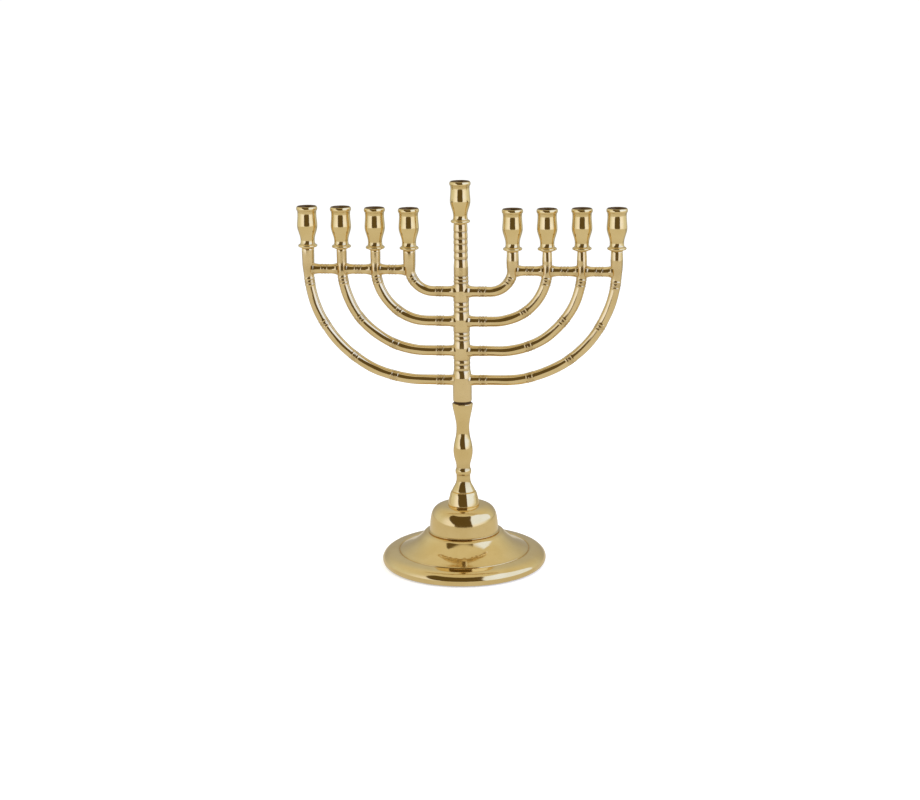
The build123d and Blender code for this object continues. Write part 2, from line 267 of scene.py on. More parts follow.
# Near-black brown for raw hidden faces, and as painted shade in the recesses between pieces and inside the
# candle sockets.
RAW_BRASS_AND_SHADE = (0.105, 0.058, 0.026, 1)


def new_material(name):
    material = bpy.data.materials.new(name)
    material.use_nodes = True
    material.node_tree.nodes.clear()
    return material, Nodes(material.node_tree)


def brass(name, bright, deep, polish, waviness, turning):
    """Polished brass: tarnish with painted shade in its grooves, hand-polished waves, buffing lines, and raw
    hidden faces, with painted shade in the recesses and candle sockets.
    """
    material, n = new_material(name)
    place = n.add("ShaderNodeTexCoord").outputs["Object"]
    cloud = n.noise(place, 55.0, 4.0, 0.55)
    speckle = n.noise(place, 900.0, 5.0, 0.65)
    tarnish_and_shade_mark = n.attribute("tarnish_and_shade")
    raw_and_shade_mark = n.attribute("raw_and_shade")
    uneven = n.ramp(speckle, 0.30, 0.70, 0.55, 1.15)
    tarnish_and_shade = n.math("MULTIPLY", tarnish_and_shade_mark, uneven)
    tarnish_and_shade = n.add("ShaderNodeClamp", {"Value": tarnish_and_shade}).outputs[0]

    colour = n.mix(n.ramp(cloud, 0.35, 0.68), bright, deep)
    warm_spots = n.ramp(n.noise(place, 320.0, 4.0, 0.6), 0.62, 0.80, 0.0, 0.22)
    colour = n.mix(warm_spots, colour, (deep[0] * 0.86, deep[1] * 0.74, deep[2] * 0.55, 1))
    # Painted shade together with tarnish: grooves, inner corners and joints pulled towards brown.
    colour = n.mix(n.math("MULTIPLY", tarnish_and_shade, 0.85), colour, GROOVE_DIRT_AND_SHADE)
    # Painted shade: recesses between pieces and candle sockets, with the raw hidden faces, drawn near-black
    # brown.
    colour = n.mix(n.math("MULTIPLY", raw_and_shade_mark, 0.94), colour, RAW_BRASS_AND_SHADE)

    buffing = n.noise(n.stretch(place, (260.0, 260.0, 5200.0)), 1.0, 3.0, 0.6)
    cross = n.noise(n.stretch(place, (3400.0, 3400.0, 240.0)), 1.0, 3.0, 0.6)
    rough = n.math("MULTIPLY_ADD", cloud, 0.035, polish - 0.018)
    rough = n.math("MULTIPLY_ADD", n.ramp(buffing, 0.45, 0.85), 0.05, rough)
    rough = n.math("MULTIPLY_ADD", tarnish_and_shade, 0.22, rough)
    rough = n.math("MULTIPLY_ADD", raw_and_shade_mark, 0.32, rough)

    waves = n.noise(place, 110.0, 2.0, 0.4)
    dents = n.noise(place, 420.0, 2.0, 0.5)
    normal = n.bump(waves, waviness * MM)
    normal = n.bump(dents, waviness * 0.12 * MM, normal)
    normal = n.bump(buffing, turning * MM, normal)
    normal = n.bump(cross, turning * 0.5 * MM, normal)

    shader = n.add("ShaderNodeBsdfPrincipled", {
        "Base Color": colour, "Roughness": rough, "Normal": normal, "Metallic": 1.0,
    })
    n.add("ShaderNodeOutputMaterial", {"Surface": shader.outputs[0]})
    return material


def zinc_steel(name):
    """Zinc-plated steel for the hidden threads: cool grey, blotchy and slightly dull."""
    material, n = new_material(name)
    place = n.add("ShaderNodeTexCoord").outputs["Object"]
    blotches = n.noise(place, 420.0, 4.0, 0.6)
    grain = n.noise(n.stretch(place, (900.0, 900.0, 6000.0)), 1.0, 3.0, 0.6)
    tarnish_and_shade = n.attribute("tarnish_and_shade")
    colour = n.mix(n.ramp(blotches, 0.35, 0.7), (0.60, 0.60, 0.58, 1), (0.46, 0.46, 0.43, 1))
    # Tarnish with painted shade in the hollows of the washer and nut, and an even grime on the threads.
    colour = n.mix(n.math("MULTIPLY", tarnish_and_shade, 0.6), colour, (0.20, 0.17, 0.12, 1))
    rough = n.math("MULTIPLY_ADD", grain, 0.16, 0.24)
    normal = n.bump(grain, 0.004 * MM)
    shader = n.add("ShaderNodeBsdfPrincipled", {
        "Base Color": colour, "Roughness": rough, "Normal": normal, "Metallic": 1.0,
    })
    n.add("ShaderNodeOutputMaterial", {"Surface": shader.outputs[0]})
    return material


BRASSES = {     # bright colour, deep colour, roughness, depth of the waves and of the buffing lines in mm
    "base_brass": ((0.87, 0.675, 0.33, 1), (0.82, 0.62, 0.28, 1), 0.075, 0.030, 0.0010),
    "branch_brass": ((0.90, 0.71, 0.385, 1), (0.83, 0.64, 0.32, 1), 0.10, 0.045, 0.0020),
    "cup_brass": ((0.91, 0.72, 0.365, 1), (0.85, 0.655, 0.305, 1), 0.09, 0.024, 0.0014),
}
MATERIALS = {name: brass(name, *look) for name, look in BRASSES.items()}
MATERIALS["fastener_steel"] = zinc_steel("fastener_steel")


def finish_piece(piece, node, body, slot):
    """Gives a piece the material of its slot, hangs it under its body and hides the CAD node that it
    replaces.
    """
    piece.data.materials.append(MATERIALS[slot])
    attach(piece, body)
    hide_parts(node)


# ---- the base ------------------------------------------------------------------------------------

def foot():
    top = high_mm("base_foot").z
    rim = high_mm("base_foot").x
    slope = smooth_line([
        (29.3, top - 0.25), (30.2, top - 0.9), (31.2, top - 2.0), (32.2, top - 3.1), (33.5, top - 4.45),
        (35.0, top - 5.85), (36.5, top - 7.1), (38.0, top - 8.25), (40.0, top - 9.55), (42.0, top - 10.65),
        (44.0, top - 11.65), (46.0, top - 12.6), (48.3, top - 13.7),
    ])
    groove = smooth_line([
        (48.3, 10.9), (48.8, 10.7), (49.05, 10.05), (49.3, 9.85), (49.6, 10.3), (50.1, 10.6),
    ], 0.1)
    band = smooth_line([
        (50.1, 10.6), (53.0, 10.25), (56.0, 9.8), (58.2, 9.15), (59.9, 8.1), (61.2, 6.7), (61.95, 5.2),
        (rim - 0.02, 3.9), (rim - 0.2, 2.5), (rim - 0.9, 1.1), (rim - 2.3, 0.1),
    ])
    under = rounded([(59.2, 0.0), (54.7, 0.0), (54.7, 5.4), (48.0, 7.2)], 0.5)
    web_low = top - 3.0
    inside = smooth_line([(48.0, 7.2), (42.0, 9.8), (36.0, 13.2), (31.0, 17.2), (26.0, web_low)], 0.8)
    web = [(ROD_HOLE_R, web_low), (ROD_HOLE_R, top), (27.0, top)]
    profile = web[1:] + [(28.6, top - 0.04)] + slope + groove[1:] + band[1:] + under + inside[1:] + web[:2]
    return turned("foot", profile, 0.0, 256, raw_and_shade=lambda r, z: (r < 54.6 and z < 7.2) or z < 0.3, dirt_and_shade=0.22)


def raw_inside(profile_inside):
    """Test for profile points that belong to a hidden stretch."""
    raw_and_shaded = {(round(r, 4), round(z, 4)) for r, z in profile_inside}
    return lambda r, z: (round(r, 4), round(z, 4)) in raw_and_shaded


def dome():
    low = low_mm("base_dome").z
    top = high_mm("base_dome").z
    crown = smooth_line([
        (12.6, top), (15.4, top - 0.12), (17.9, top - 0.55), (19.95, top - 1.3), (21.7, top - 2.45),
        (23.15, top - 4.1), (24.25, top - 6.2), (24.95, top - 8.8), (25.45, top - 11.9), (25.8, top - 15.2),
        (26.05, top - 18.2), (26.15, top - 19.1),
    ])
    lip = smooth_line([
        (26.15, top - 19.1), (26.5, top - 19.4), (27.05, top - 19.75), (27.15, top - 20.15),
        (26.9, low + 0.3), (26.5, low),
    ], 0.12)
    roof = top - 2.2
    inner = smooth_line([
        (23.8, low), (23.4, low + 5.0), (22.7, low + 10.5), (21.1, low + 14.2), (18.0, low + 17.0),
        (12.6, roof),
    ], 0.8)
    profile = [(ROD_HOLE_R, top), (8.0, top)] + crown + lip[1:] + inner
    profile += [(ROD_HOLE_R, roof), (ROD_HOLE_R, top)]
    return turned("dome", profile, 0.0, 192, raw_and_shade=raw_inside(inner), dirt_and_shade=0.4)


def collar():
    low = low_mm("dome_collar").z
    top = high_mm("dome_collar").z
    wall = smooth_line([
        (11.7, low), (11.95, low + 0.5), (11.7, low + 2.0), (11.2, low + 4.2), (10.6, low + 6.6),
        (10.05, low + 8.7), (9.7, low + 9.6), (9.35, top - 0.15), (8.8, top),
    ], 0.2)
    profile = [(ROD_HOLE_R, low)] + wall + [(ROD_HOLE_R, top), (ROD_HOLE_R, low)]
    return turned("collar", profile, 0.0, 128)


def stem():
    low = low_mm("stem").z
    top = high_mm("stem").z
    rod_top = high_mm("tie_rod").z
    bell = [
        (8.5, low), (8.75, low + 0.35), (8.55, low + 1.2), (8.0, low + 2.3), (7.35, low + 3.5),
        (6.6, low + 4.9),
    ]
    neck = [(6.0, low + 6.2), (5.55, low + 7.7), (5.35, low + 9.4), (5.3, low + 11.2), (5.35, low + 13.0)]
    bead = [
        (5.42, low + 13.3), (5.85, low + 14.2), (6.05, low + 15.6), (5.85, low + 17.0), (5.42, low + 17.9),
    ]
    bulb = [
        (5.3, low + 19.3), (5.45, low + 21.2), (5.95, low + 23.4), (6.5, low + 25.4), (7.02, low + 27.9),
        (7.3, low + 30.6), (7.26, low + 33.2), (6.98, low + 35.6), (6.35, low + 38.8), (5.65, low + 41.9),
        (5.17, low + 44.9), (4.95, low + 47.8), (4.93, low + 50.6), (5.15, low + 53.4), (5.6, low + 56.2),
        (6.2, low + 59.2), (6.85, low + 62.2), (7.4, low + 65.0), (7.7, low + 67.0),
    ]
    ledge = [(7.78, top - 2.0), (7.8, top - 1.6), (7.65, top - 1.25), (7.3, top - 1.0)]
    recess = [(6.7, top - 0.75), (6.5, top - 0.4), (6.5, top)]
    profile = [(0.0, rod_top), (ROD_R, rod_top - 0.6), (ROD_R, low)] + smooth_line(bell + neck)
    profile += smooth_line(bead, 0.2) + smooth_line(bulb) + smooth_line(ledge, 0.12) + recess
    profile += [(4.4, top), (STEM_STUD_HOLE_R, top - 0.4), (STEM_STUD_HOLE_R, top - 13.6), (0.0, top - 15.0)]
    # The recess round the top, under the shaft, is drawn in the raw colour: painted shade in the gap between
    # the two pieces.
    return turned("stem", profile, 0.0, 128, raw_and_shade=lambda r, z: r < 7.0 and z > top - 0.9)


# ---- the centre shaft ----------------------------------------------------------------------------

SHAFT_SEGMENTS = [          # height where each turned segment ends, and its widest radius, from the barrel up
    (150.1, 7.07), (154.1, 6.22), (157.9, 6.2), (172.7, 6.37), (176.0, 6.1), (179.1, 6.07),
    (194.3, 6.2), (197.9, 5.82), (201.7, 5.8), (216.0, 5.9), (218.6, 5.62), (221.2, 5.56),
    (233.7, 5.42), (238.9, 5.27), (244.7, 5.27), (248.7, 5.25), (254.0, 5.25), (260.0, 5.2),
]
NARROWING_SHARE = 0.62      # a segment starts to narrow this share of its height below its top
NARROWING_REACH = 6.0       # but no further down than this
BARREL_NARROWS, HUB_NARROWS, RING_NARROWS = 0.95, 0.62, 0.32
HUB_HEIGHT = 10.0           # a segment taller than this narrows as a hub, a shorter one as a ring
TURNED_GROOVE_DEPTH = 0.10
TURNED_GROOVE_WIDTH = 0.22


def shaft_radius(z, foot):
    """Radius of the shaft at a height: every segment narrows towards its top, down to a fine groove."""
    low = foot
    for top, widest in SHAFT_SEGMENTS:
        if z < top:
            break
        low = top
    height = top - low
    reach = min(NARROWING_SHARE * height, NARROWING_REACH)
    depth = BARREL_NARROWS if low == foot else HUB_NARROWS if height > HUB_HEIGHT else RING_NARROWS
    up = max(0.0, 1.0 - (top - z) / reach)
    curve = (1.0 - math.sqrt(1.0 - 0.97 * up * up)) / 0.83
    near = min(top - z, z - low) if low > foot else top - z
    narrowed = depth * (0.62 * up + 0.38 * curve)
    return widest - narrowed - TURNED_GROOVE_DEPTH * math.exp(-(near / TURNED_GROOVE_WIDTH) ** 2)


def shaft():
    low = low_mm("centre_shaft").z
    top = high_mm("centre_shaft").z
    recess = [(4.4, low), (6.45, low), (6.5, low + 0.35)]
    edge = [(6.75, low + 0.75), (6.98, low + 0.95), (7.05, low + 1.2)]
    side = [(shaft_radius(z, low), z) for z in np.arange(low + 1.5, top - 0.3, 0.15)]
    hole_low = top - STUD_HOLE_DEPTH
    profile = [(0.0, low + 12.4), (STEM_STUD_HOLE_R, low + 11.2), (STEM_STUD_HOLE_R, low + 0.4)]
    profile += recess + edge + side
    profile += [(4.7, top), (2.3, top), (STUD_HOLE_R, top - STUD_HOLE_CHAMFER), (STUD_HOLE_R, hole_low)]
    profile += [(0.0, top - 9.6)]
    # The recess at the foot of the shaft is drawn in the raw colour as painted shade in the gap over the
    # stem; the stud holes are raw brass.
    return turned("shaft", profile, 0.0, 96, raw_and_shade=lambda r, z: z < low + 0.8 or r < 2.2, dirt_and_shade=0.4)


# ---- arms and crossbars --------------------------------------------------------------------------

class ArmAxis:
    """An arm's axis: out level from the shaft, round a quarter circle, and up to the cup."""

    def __init__(self, side_name, number):
        node = f"arm_{side_name}_{number}"
        self.side = SIDES[side_name]
        self.bend = BEND_R[number]
        self.level_z = low_mm(node).z + ARM_R + ROOT_FLARE
        self.top_z = high_mm(node).z
        self.cup_x = abs(centre_x_mm(f"cup_{side_name}_{number}"))
        self.root_x = min(abs(low_mm(node).x), abs(high_mm(node).x))
        self.level = self.cup_x - self.bend - self.root_x
        self.arc = self.bend * math.pi / 2
        self.length = self.level + self.arc + self.top_z - self.level_z - self.bend
        self.phase = 1.7 * number + (0.6 if self.side > 0 else 0.0)
        self.bow = BOW.get((side_name, number), 0.0)

    def sway(self, s):
        """Slight unevenness of a hand-bent rod, fading out at its brazed ends."""
        fade = math.sin(math.pi * min(1.0, max(0.0, s / self.bar_s()))) ** 0.7
        swing = math.sin(s / 9.5 + self.phase) + 0.6 * math.sin(s / 5.2 + 2.1 * self.phase)
        return fade * (0.13 * swing + self.bow), 0.10 * fade * math.sin(s / 13.0 + 3.0 * self.phase)

    def bar_s(self):
        return self.level + self.arc - (self.level_z + self.bend - CROSSBAR_Z)

    def direction(self, s):
        turned_by = min(max(s - self.level, 0.0), self.arc) / self.bend
        return turned_by if self.side > 0 else math.pi - turned_by

    def centre(self, s):
        turned_by = min(max(s - self.level, 0.0), self.arc) / self.bend
        x = self.root_x + min(s, self.level) + self.bend * math.sin(turned_by)
        z = self.level_z + self.bend * (1 - math.cos(turned_by)) + max(0.0, s - self.level - self.arc)
        across, sideways = self.sway(s)
        angle = self.direction(s)
        x_out = self.side * x - math.sin(angle) * across
        return x_out, sideways, z + math.cos(angle) * across

    def knots(self, number):
        last = math.acos((self.level_z + self.bend - LAST_KNOT_Z[number]) / self.bend)
        along = [self.level + self.bend * last - KNOT_SPACING[number] * k for k in range(number)]
        return [ROOT_KNOT_X - self.root_x] + along


def bell_curve(distance, width):
    return np.exp(-(distance / width) ** 2)


def knot_height(offset):
    """What a knot adds to a rod's radius at a distance along it from the knot's middle."""
    ridges = bell_curve(offset - 2.3, 0.55) + bell_curve(offset + 2.3, 0.55)
    return 0.24 * ridges + 0.10 * bell_curve(offset, 1.0)


def knot_tie(offset, angles):
    """The crossed tie between a knot's two ridges."""
    sweep = 1.7 * (2 / math.pi) * np.arcsin(np.sin(2 * angles))
    crossing = bell_curve(offset - sweep, 0.34) + bell_curve(offset + sweep, 0.34)
    return 0.10 * np.minimum(crossing, 1.0) * bell_curve(offset, 2.4)


def places_along(length, details, coarse=0.8, fine=0.16, reach=3.6):
    """Distances for the rings: close together round each detail, wider elsewhere."""
    places = list(np.arange(0.0, length, coarse))
    for at in details:
        places += list(np.arange(max(0.0, at - reach), min(length, at + reach), fine))
    places = sorted(set(round(p, 3) for p in places))
    kept = [places[0]]
    for p in places[1:]:
        if p - kept[-1] > fine * 0.6:
            kept.append(p)
    return kept


def arm(side_name, number):
    axis = ArmAxis(side_name, number)
    knots = axis.knots(number)
    bar = axis.bar_s()
    shaft_face = SHAFT_FACE_X - axis.root_x
    post_low, post = POST_R[number]

    def radius(s):
        rise = min(1.0, max(0.0, (s - bar) / (axis.length - bar)))
        swell = 0.5 * (1 + math.tanh((s - bar - 1.0) / 2.2))
        fillet = 1.25 * math.exp(-max(0.0, s - shaft_face) / 1.6)
        lump = 0.16 * bell_curve(s - bar, 3.6)
        upright = post_low + (post - post_low) * math.sin(rise * math.pi / 2)
        upright -= POST_TIP[side_name] * max(0.0, 1.0 - (axis.length - s) / POST_TIP_LENGTH)
        return ARM_R + (upright - ARM_R) * swell + fillet + lump + sum(knot_height(s - k) for k in knots)

    def relief(s, angles):
        uneven = 0.035 * np.sin(2 * angles + 0.21 * s) + 0.025 * np.sin(3 * angles - 0.34 * s)
        return uneven + sum(knot_tie(s - k, angles) for k in knots if abs(s - k) < 4)

    # Tarnish with painted shade at each knot and where the arm meets the shaft and the crossbar.
    def marks(profile):
        found = []
        for _, s in profile:
            knot = sum(bell_curve(s - k, 2.6) for k in knots)
            at_shaft = 0.15 * bell_curve(s - shaft_face, 1.6)
            at_bar = 0.2 * bell_curve(s - bar, 4.0)
            found.append(min(1.0, 0.35 * knot + at_shaft + at_bar))
        return found

    end = axis.length
    body = [(radius(s), s) for s in places_along(end - 0.5, knots + [shaft_face, bar])]
    tip = post - POST_TIP[side_name]
    socket = [(tip - 0.1, end - 0.28), (tip - 0.38, end)]
    socket += [(STUD_HOLE_R + STUD_HOLE_CHAMFER, end), (STUD_HOLE_R, end - STUD_HOLE_CHAMFER)]
    socket += [(STUD_HOLE_R, end - STUD_HOLE_DEPTH), (0.0, end - STUD_HOLE_DEPTH - 0.5)]
    profile = [(0.0, 0.0)] + body + socket
    raw_and_shaded = [0.0] * (len(body) + 4) + [1.0] * 3
    return bent(
        f"arm_{side_name}_{number}_rod", axis.centre, axis.direction, profile, 48,
        relief=lambda s, angles: relief(s, angles) * (1.0 if s < end - 1.0 else 0.0),
        marks=marks, raw_and_shade=lambda profile: raw_and_shaded,
    )


BAR_INSET = 2.6             # from a post's axis to the crossbar's blind end inside it
BAR_FACE = 1.2              # from that end to where the crossbar comes out of the post


def crossbar(side_name, number):
    side = SIDES[side_name]
    inner = abs(centre_x_mm(f"cup_{side_name}_{number}"))
    outer = abs(centre_x_mm(f"cup_{side_name}_{number + 1}"))
    start, end = inner + BAR_INSET, outer - BAR_INSET
    length = end - start
    middle = length / 2
    face = BAR_FACE

    def radius(s):
        near = min(s, length - s)
        return BAR_R + 1.0 * math.exp(-max(0.0, near - face) / 2.0) + knot_height(s - middle)

    def relief(s, angles):
        uneven = 0.03 * np.sin(2 * angles + 0.3 * s + number) + 0.02 * np.sin(3 * angles - 0.4 * s)
        return uneven + knot_tie(s - middle, angles)

    # Tarnish with painted shade where the bar meets the posts and at its knot.
    def marks(profile):
        found = []
        for _, s in profile:
            near = min(s, length - s)
            found.append(min(1.0, 0.25 * bell_curve(near - face, 1.6) + 0.3 * bell_curve(s - middle, 2.4)))
        return found

    places = places_along(length, [face, middle, length - face]) + [length]
    profile = [(0.0, 0.0)] + [(radius(s), s) for s in places] + [(0.0, length)]
    return bent(
        f"crossbar_{side_name}_{number}_rod",
        lambda s: (side * (start + s), 0.0, CROSSBAR_Z),
        lambda s: 0.0 if side > 0 else math.pi,
        profile, 48, relief=relief, marks=marks, raw_and_shade=lambda profile: [0.0] * len(profile),
    )


# ---- cups ----------------------------------------------------------------------------------------

CANDLE_R = 5.6
CANDLE_DEPTH = 17.0


def cup(label):
    node = f"cup_{label}"
    z = low_mm(node).z
    top = high_mm(node).z
    flange = smooth_line([
        (4.85, z + 0.3), (4.9, z + 0.5), (5.9, z + 0.6), (6.65, z + 0.85), (7.03, z + 1.3),
        (7.1, z + 1.75), (6.95, z + 2.2), (6.5, z + 2.6), (5.95, z + 2.85), (5.6, z + 3.15),
    ], 0.1)
    body = smooth_line([
        (5.6, z + 3.15), (5.42, z + 3.7), (5.3, z + 4.5), (5.22, z + 5.6), (5.3, z + 7.1), (5.65, z + 8.9),
        (6.3, z + 11.1), (6.98, z + 13.3), (7.38, z + 15.2), (7.5, z + 16.9), (7.42, z + 18.7),
        (7.22, z + 21.0), (7.05, z + 23.4), (6.98, z + 25.5), (7.05, z + 27.0), (7.2, z + 27.9),
    ])
    rim = smooth_line([
        (7.2, z + 27.9), (7.5, z + 28.2), (7.75, z + 28.8), (7.8, z + 29.5), (7.7, z + 30.2),
        (7.4, z + 30.75), (7.05, top), (6.85, top - 0.02), (6.6, top - 0.2), (6.2, top - 0.6),
        (5.75, top - 1.1),
    ], 0.15)
    floor_z = top - CANDLE_DEPTH
    bore = [
        (CANDLE_R, top - 1.6), (CANDLE_R, top - 8.0), (CANDLE_R, top - 16.2), (5.3, top - 16.8),
        (4.6, floor_z), (0.0, floor_z),
    ]
    hole = [
        (0.0, z + 8.4), (STUD_HOLE_R, z + 7.9), (STUD_HOLE_R, z + STUD_HOLE_CHAMFER),
        (STUD_HOLE_R + STUD_HOLE_CHAMFER, z), (4.7, z),
    ]

    def unpolished_and_shaded(r, at):
        """The stud hole, the candle socket and the flat top of the lip: raw brass, and in the socket painted
        shade as well.
        """
        return r < 2.2 or (r < 6.9 and at > z + 13.2) or (r < 7.2 and at > z + 30.85)

    profile = hole + flange + body[1:] + rim[1:] + bore
    return turned(f"cup_{label}_turned", profile, centre_x_mm(node), 80, raw_and_shade=unpolished_and_shaded, dirt_and_shade=0.35)


# ---- studs, rod, washer and nut ------------------------------------------------------------------

def thread(name, node, pitch, segments=28):
    """Threaded rod with pointed ends, inside its CAD cylinder."""
    low, high = low_mm(node).z, high_mm(node).z
    major = (high_mm(node).x - low_mm(node).x) / 2
    depth = 0.61 * pitch
    angles = np.linspace(0, TAU, segments, endpoint=False)
    levels = np.arange(low, high + 1e-6, pitch / 8)

    def relief(radius, z, angles):
        turn = (z / pitch - angles / TAU) % 1.0
        flank = np.abs(2 * turn - 1)
        taper = min(1.0, (z - low + 0.3) / 0.9, (high - z + 0.3) / 0.9)
        return (major - depth * 0.95) * (0.9 + 0.1 * taper) + depth * 0.95 * flank * taper

    profile = [(0.0, low)] + [(major, z) for z in levels] + [(0.0, levels[-1])]
    piece = turned(name, profile, centre_x_mm(node), segments, relief=relief)
    dirt_and_shade = piece.data.attributes["tarnish_and_shade"].data
    dirt_and_shade.foreach_set("value", [0.35] * len(piece.data.vertices))
    return piece


def washer():
    low, high = low_mm("base_washer").z, high_mm("base_washer").z
    outer = high_mm("base_washer").x
    start = (ROD_HOLE_R, low + 0.8)
    corners = [start, (ROD_HOLE_R, low), (outer, low), (outer, high), (ROD_HOLE_R, high), start]
    profile = rounded(corners, 0.22)
    return turned("washer", profile, 0.0, 96)


def nut():
    low, high = low_mm("base_nut").z, high_mm("base_nut").z
    flats = (high_mm("base_nut").y - low_mm("base_nut").y) / 2

    def relief(radius, z, angles):
        hexagon = flats / np.cos((angles + math.pi / 6) % (math.pi / 3) - math.pi / 6)
        chamfer = flats * 1.02 + min(z - low, high - z) * 1.7
        return np.minimum(hexagon, chamfer) if radius > 4 else np.full(angles.shape, radius)

    middle = (low + high) / 2
    profile = [(ROD_R, middle), (ROD_R, low + 0.4), (3.4, low), (4.5, low)]
    profile += [(5.8, z) for z in np.linspace(low, high, 22)]
    profile += [(4.5, high), (3.4, high), (ROD_R, high - 0.4), (ROD_R, middle)]
    return turned("nut", profile, 0.0, 144, relief=relief)


# ---- the whole object ----------------------------------------------------------------------------

for build_piece, node in ((foot, "base_foot"), (dome, "base_dome"), (collar, "dome_collar"), (stem, "stem")):
    finish_piece(build_piece(), node, "base", "base_brass")
finish_piece(washer(), "base_washer", "base", "fastener_steel")
finish_piece(nut(), "base_nut", "base", "fastener_steel")
tie_rod = thread("tie_rod_thread", "tie_rod", ROD_THREAD_PITCH, 36)
finish_piece(tie_rod, "tie_rod", "base", "fastener_steel")
stem_stud = thread("stem_stud_thread", "stem_stud", STEM_THREAD_PITCH, 40)
finish_piece(stem_stud, "stem_stud", "stem_stud", "fastener_steel")
finish_piece(shaft(), "centre_shaft", "candelabra", "branch_brass")

for side_name in SIDES:
    for number in range(1, ARMS_PER_SIDE + 1):
        finish_piece(arm(side_name, number), f"arm_{side_name}_{number}", "candelabra", "branch_brass")
    for number in range(1, ARMS_PER_SIDE):
        bar = crossbar(side_name, number)
        finish_piece(bar, f"crossbar_{side_name}_{number}", "candelabra", "branch_brass")

cup_labels = ["shamash"] + [f"{side_name}_{n}" for side_name in SIDES for n in range(1, ARMS_PER_SIDE + 1)]
for label in cup_labels:
    finish_piece(cup(label), f"cup_{label}", f"cup_{label}", "cup_brass")
    stud = thread(f"stud_{label}_thread", f"stud_{label}", CUP_THREAD_PITCH)
    finish_piece(stud, f"stud_{label}", f"stud_{label}", "fastener_steel")


# ---- floor, light and camera ---------------------------------------------------------------------

CAMERA_YAW = 0.135          # how far the camera stands to the right of the object's front
CAMERA_DISTANCE = 1.3675
CAMERA_HEIGHT = 0.4606
CAMERA_PITCH = 0.234
CAMERA_ROLL = -0.012
CAMERA_SHIFT = (-0.00258, -0.01147)
FOCAL_LENGTH_MM = 73.5
FLOOR_RADIUS = 1.55         # metres, as all sizes of the stage
FLOOR_GAP = 0.0003          # how far the floor lies below the foot


def camera():
    data = bpy.data.cameras.new("camera")
    data.lens = FOCAL_LENGTH_MM
    data.sensor_width = 36.0
    data.shift_x, data.shift_y = CAMERA_SHIFT
    data.clip_start = 0.01
    data.clip_end = 60.0
    view = bpy.data.objects.new("camera", data)
    along_x = math.sin(CAMERA_YAW) * CAMERA_DISTANCE
    along_y = -math.cos(CAMERA_YAW) * CAMERA_DISTANCE
    place = Vector((along_x, along_y, CAMERA_HEIGHT))
    turn = Matrix.Rotation(CAMERA_YAW, 4, "Z") @ Matrix.Rotation(math.pi / 2 - CAMERA_PITCH, 4, "X")
    view.matrix_world = Matrix.Translation(place) @ turn @ Matrix.Rotation(CAMERA_ROLL, 4, "Z")
    bpy.context.scene.collection.objects.link(view)
    bpy.context.scene.camera = view


def floor():
    """Pale table top: to the camera lit white with an added glow, and in reflections a painted warm grey
    glow, darker towards the back.
    """
    work = bmesh.new()
    bmesh.ops.create_circle(work, cap_ends=True, segments=96, radius=FLOOR_RADIUS)
    mesh = bpy.data.meshes.new("floor")
    work.to_mesh(mesh)
    work.free()
    top = bpy.data.objects.new("floor", mesh)
    top.location.z = -FLOOR_GAP
    bpy.context.scene.collection.objects.link(top)
    material, n = new_material("pale_table")
    place = n.add("ShaderNodeSeparateXYZ", {0: n.add("ShaderNodeTexCoord").outputs["Object"]}).outputs
    # Painted glow seen only in reflections, darker towards the back of the table.
    far = n.ramp(place[1], 0.05, 0.7)
    warm_grey = n.mix(far, (0.66, 0.63, 0.565, 1), (0.42, 0.41, 0.375, 1))
    mirrored = n.add("ShaderNodeEmission", {"Color": warm_grey, "Strength": 1.0})
    diffuse = n.add("ShaderNodeBsdfDiffuse", {"Color": (0.80, 0.80, 0.80, 1)})
    glow = n.add("ShaderNodeEmission", {"Color": (1, 1, 1, 1), "Strength": 0.52})
    seen = n.add("ShaderNodeAddShader", {0: diffuse.outputs[0], 1: glow.outputs[0]})
    path = n.add("ShaderNodeLightPath").outputs["Is Camera Ray"]
    both = n.add("ShaderNodeMixShader", {0: path, 1: mirrored.outputs[0], 2: seen.outputs[0]})
    n.add("ShaderNodeOutputMaterial", {"Surface": both.outputs[0]})
    top.data.materials.append(material)


SKY_LOW, SKY_HIGH = -20.0, 100.0    # degrees of height over which the outlines below run
AZIMUTH_SPAN = 120.0                # and the furthest azimuth that they reach, either way
OPENING_WEST = [
    (-20, 3), (-13, -7), (-9, -25), (-4, -32), (2, -32), (7, -42), (16, -50), (28, -57), (45, -66), (60, -72),
    (100, -75),
]
OPENING_EAST = [
    (-20, 3), (-13, 10), (-9, 25), (-4, 30), (1, 29), (5, 27), (10, 26), (36, 27), (62, 38), (100, 38),
]
SOFTBOX_WEST = [(-20, 33), (1, 31), (5, 28), (10, 27), (36, 28.5), (62, 39.5), (100, 39.5)]
SOFTBOX_EAST = [(-20, 108), (3, 107), (20, 109), (36, 104), (50, 91), (62, 84), (100, 80)]
WALLS_LOW, WALLS_HIGH = (0.74, 0.76, 0.72, 1), (0.70, 0.66, 0.54, 1)
BEHIND_COLOUR = (0.42, 0.41, 0.38, 1)
GLOW_COLOUR = (1.02, 1.08, 1.38, 1)
SOFTBOX_COLOUR = (0.95, 1.17, 1.95, 1)
OPENING_COLOUR = (0.12, 0.085, 0.032, 1)


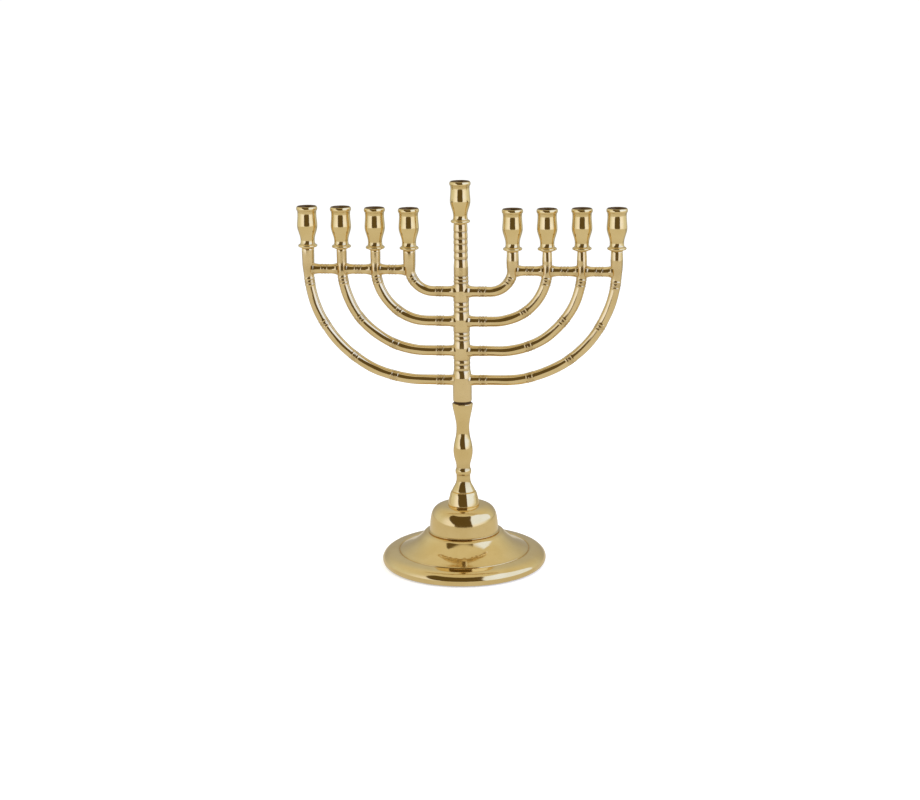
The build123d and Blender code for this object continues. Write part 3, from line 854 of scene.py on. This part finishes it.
def outline(n, height, corners):
    """Azimuth in degrees of an outline at each height, through the given (height, azimuth) corners."""
    node = n.tree.nodes.new("ShaderNodeFloatCurve")
    curve = node.mapping.curves[0]
    places = [((h - SKY_LOW) / (SKY_HIGH - SKY_LOW), 0.5 + a / (2 * AZIMUTH_SPAN)) for h, a in corners]
    curve.points[0].location = places[0]
    curve.points[-1].location = places[-1]
    for place in places[1:-1]:
        curve.points.new(*place)
    node.mapping.update()
    across = n.add("ShaderNodeMapRange", {"Value": height, "From Min": SKY_LOW, "From Max": SKY_HIGH})
    n.tree.links.new(across.outputs[0], node.inputs["Value"])
    return n.math("MULTIPLY_ADD", node.outputs[0], 2 * AZIMUTH_SPAN, -AZIMUTH_SPAN)


def block(n, azimuth, height, west, east, low, high, edge, fade):
    """How far a direction lies inside an outlined block of sky: 1 inside it, 0 outside."""
    from_west = n.ramp(n.math("SUBTRACT", azimuth, outline(n, height, west)), -edge, edge)
    from_east = n.ramp(n.math("SUBTRACT", outline(n, height, east), azimuth), -edge, edge)
    from_low = n.ramp(height, low - fade, low + fade)
    from_high = n.ramp(height, high + fade, high - fade)
    ends = n.math("MULTIPLY", from_low, from_high)
    return n.math("MULTIPLY", n.math("MULTIPLY", from_west, from_east), ends)


def light_tent():
    """Warm white tent with a dark opening towards the viewer, a pale glow round it and a cool softbox."""
    world = bpy.data.worlds.new("tent")
    world.use_nodes = True
    world.node_tree.nodes.clear()
    n = Nodes(world.node_tree)
    direction = n.add("ShaderNodeTexCoord").outputs["Generated"]
    facing = {"Vector": direction, "Angle": -CAMERA_YAW}
    turned_dir = n.add("ShaderNodeVectorRotate", facing, rotation_type="Z_AXIS").outputs[0]
    parts = n.add("ShaderNodeSeparateXYZ", {0: turned_dir}).outputs
    azimuth = n.math("DEGREES", n.math("ARCTAN2", parts[0], n.math("MULTIPLY", parts[1], -1.0)))
    height = n.math("DEGREES", n.math("ARCSINE", parts[2]))

    behind = n.ramp(n.math("ABSOLUTE", azimuth), 100.0, 165.0)
    low_sky = n.ramp(height, 58.0, 5.0)
    walls = n.mix(n.ramp(height, 10.0, 62.0), WALLS_LOW, WALLS_HIGH)
    tent = n.mix(n.math("MULTIPLY", behind, low_sky), walls, BEHIND_COLOUR)
    beside = n.ramp(n.math("ABSOLUTE", azimuth), 98.0, 48.0)
    rising, fading = n.ramp(height, -16.0, -9.0), n.ramp(height, 60.0, 6.0)
    glow = n.math("MULTIPLY", beside, n.math("MULTIPLY", rising, fading))
    tent = n.mix(glow, tent, GLOW_COLOUR)
    softbox = block(n, azimuth, height, SOFTBOX_WEST, SOFTBOX_EAST, 3.0, 61.0, 2.0, 4.0)
    tent = n.mix(softbox, tent, SOFTBOX_COLOUR)
    opening = block(n, azimuth, height, OPENING_WEST, OPENING_EAST, -14.0, 64.0, 2.0, 2.0)
    tent = n.mix(opening, tent, OPENING_COLOUR)
    lit = n.add("ShaderNodeBackground", {"Color": tent, "Strength": 1.0})
    seen = n.add("ShaderNodeBackground", {"Color": (1, 1, 1, 1), "Strength": 1.05})
    path = n.add("ShaderNodeLightPath").outputs["Is Camera Ray"]
    shown = n.add("ShaderNodeMixShader", {0: path, 1: lit.outputs[0], 2: seen.outputs[0]})
    n.add("ShaderNodeOutputWorld", {"Surface": shown.outputs[0]})
    bpy.context.scene.world = world


LAMPS = {       # place, size and power
    "key": ((-0.9, -0.5, 1.5), 1.2, 9.0),
    "fill": ((1.0, 0.4, 1.4), 1.4, 7.0),
}


def lamps():
    """Two large soft lamps above the table, for a gentle contact shadow."""
    for name, (place, size, power) in LAMPS.items():
        data = bpy.data.lights.new(name, "AREA")
        data.size = size
        data.energy = power
        lamp = bpy.data.objects.new(name, data)
        lamp.location = place
        lamp.rotation_euler = (-Vector(place)).to_track_quat("-Z", "Y").to_euler()
        lamp.visible_glossy = False
        bpy.context.scene.collection.objects.link(lamp)


camera()
floor()
light_tent()
lamps()
bpy.context.scene.view_settings.view_transform = "Standard"
